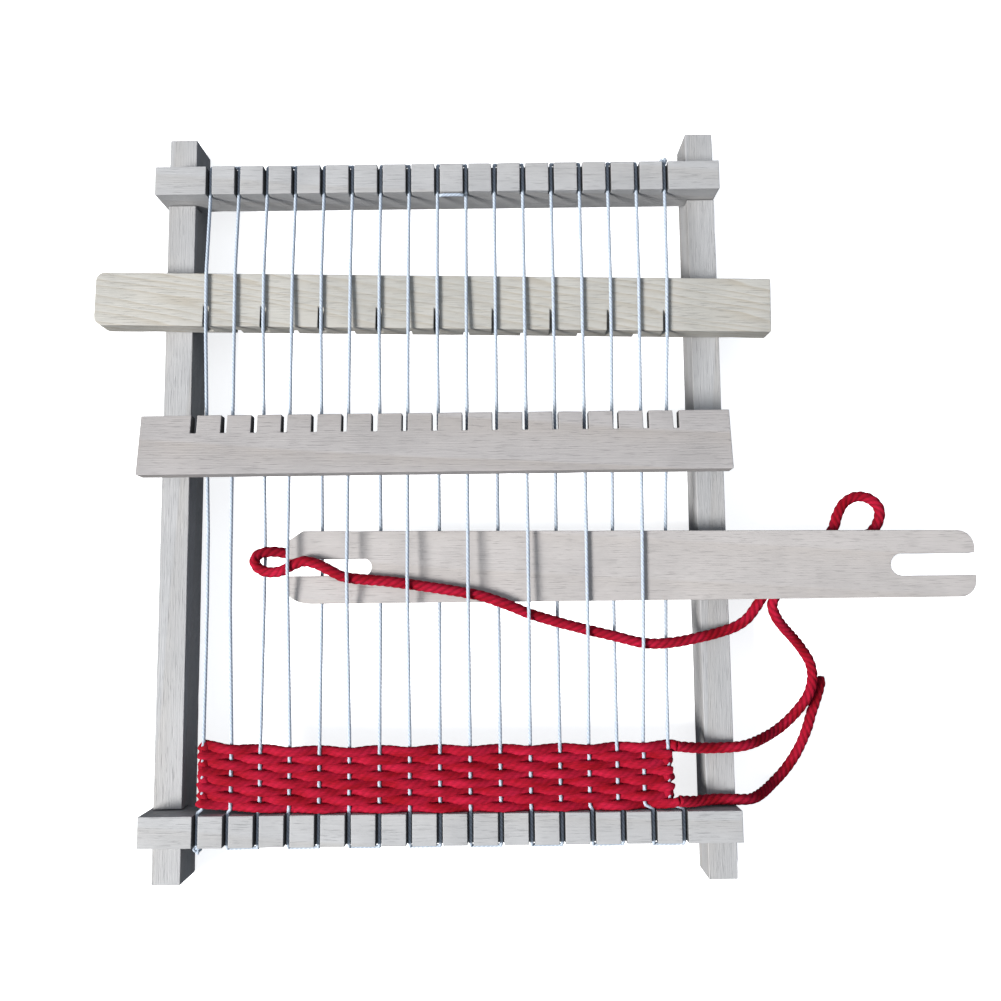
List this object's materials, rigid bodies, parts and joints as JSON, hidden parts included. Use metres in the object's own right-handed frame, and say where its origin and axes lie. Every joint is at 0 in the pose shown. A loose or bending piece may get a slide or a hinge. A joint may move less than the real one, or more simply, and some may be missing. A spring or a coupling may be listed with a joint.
{
  "type": "frame loom",
  "caption": "Small wooden frame loom on its back: notched beams, cotton warp, a turning heddle bar, a comb, a shuttle in the shed, and the first woven rows of red yarn.",
  "frame": {"origin": "bottom centre of the loom's box, cords left out, on the plane of the posts' back faces", "axes": "+X along the beams towards the shuttle's free end, +Y along the posts towards the far beam, +Z out of the loom's front"},
  "size_m": [0.2984, 0.26, 0.0345],
  "materials": {
    "frame_wood": "bare pale beech, lightly sanded",
    "heddle_wood": "bare pine with strong straw-coloured grain",
    "comb_wood": "bare pinkish beech",
    "shuttle_wood": "bare greyish plywood face",
    "cotton": "twisted white cotton",
    "yarn": "soft plied crimson wool",
    "screw_steel": "zinc plated"
  },
  "bodies": {
    "frame": {"left_post": "frame_wood", "right_post": "frame_wood", "near_beam": "frame_wood", "far_beam": "frame_wood", "near_left_screw": "screw_steel", "near_right_screw": "screw_steel", "far_left_screw": "screw_steel", "far_right_screw": "screw_steel", "warp_turn_far_01": "cotton", "warp_turn_near_02": "cotton", "warp_turn_far_03": "cotton", "warp_turn_near_04": "cotton", "warp_turn_far_05": "cotton", "warp_turn_near_06": "cotton", "warp_turn_far_07": "cotton", "warp_turn_near_08": "cotton", "warp_turn_far_09": "cotton", "warp_turn_near_10": "cotton", "warp_turn_far_11": "cotton", "warp_turn_near_12": "cotton", "warp_turn_far_13": "cotton", "warp_turn_near_14": "cotton", "warp_turn_far_15": "cotton", "warp_turn_near_16": "cotton", "warp_knot_far": "cotton", "warp_knot_near": "cotton", "warp_tie": "cotton", "weft": "yarn", "weft_tail": "yarn"},
    "heddle": {"heddle_bar": "heddle_wood"},
    "raised_ends": {"warp_end_02": "cotton", "warp_end_04": "cotton", "warp_end_06": "cotton", "warp_end_08": "cotton", "warp_end_10": "cotton", "warp_end_12": "cotton", "warp_end_14": "cotton", "warp_end_16": "cotton"},
    "lowered_ends": {"warp_end_01": "cotton", "warp_end_03": "cotton", "warp_end_05": "cotton", "warp_end_07": "cotton", "warp_end_09": "cotton", "warp_end_11": "cotton", "warp_end_13": "cotton", "warp_end_15": "cotton", "warp_end_17": "cotton"},
    "comb": {"comb": "comb_wood"},
    "shuttle": {"shuttle": "shuttle_wood", "working_yarn": "yarn"}
  },
  "joints": [
    {"name": "heddle_turn", "type": "hinge", "parent": "frame", "child": "heddle", "pos_m": [-0.0305, 0.0754, 0.0153], "axis": [-0.9998, 0.022, 0], "range_deg": [0, 60]},
    {"name": "raised_ends_lift", "type": "hinge", "parent": "frame", "child": "raised_ends", "pos_m": [-0.0305, -0.0834, 0.0209], "axis": [1, 0, 0], "range_deg": [0, 4.6], "deforming": ["warp_end_02", "warp_end_04", "warp_end_06", "warp_end_08", "warp_end_10", "warp_end_12", "warp_end_14", "warp_end_16"]},
    {"name": "lowered_ends_lift", "type": "hinge", "parent": "frame", "child": "lowered_ends", "pos_m": [-0.0305, -0.0834, 0.0209], "axis": [1, 0, 0], "range_deg": [0, 3.4], "deforming": ["warp_end_01", "warp_end_03", "warp_end_05", "warp_end_07", "warp_end_09", "warp_end_11", "warp_end_13", "warp_end_15", "warp_end_17"]},
    {"name": "comb_slide", "type": "slide", "parent": "raised_ends", "child": "comb", "axis": [0, 0.9992, -0.0396], "range_m": [-0.012, 0.025]},
    {"name": "shuttle_slide", "type": "slide", "parent": "lowered_ends", "child": "shuttle", "axis": [1, 0, 0], "range_m": [-0.03, 0.06], "deforming": ["working_yarn"]}
  ],
  "couplings": [
    {"joint": "raised_ends_lift", "follows": "heddle_turn", "ratio": 0.0735},
    {"joint": "lowered_ends_lift", "follows": "heddle_turn", "ratio": 0.0545}
  ]
}
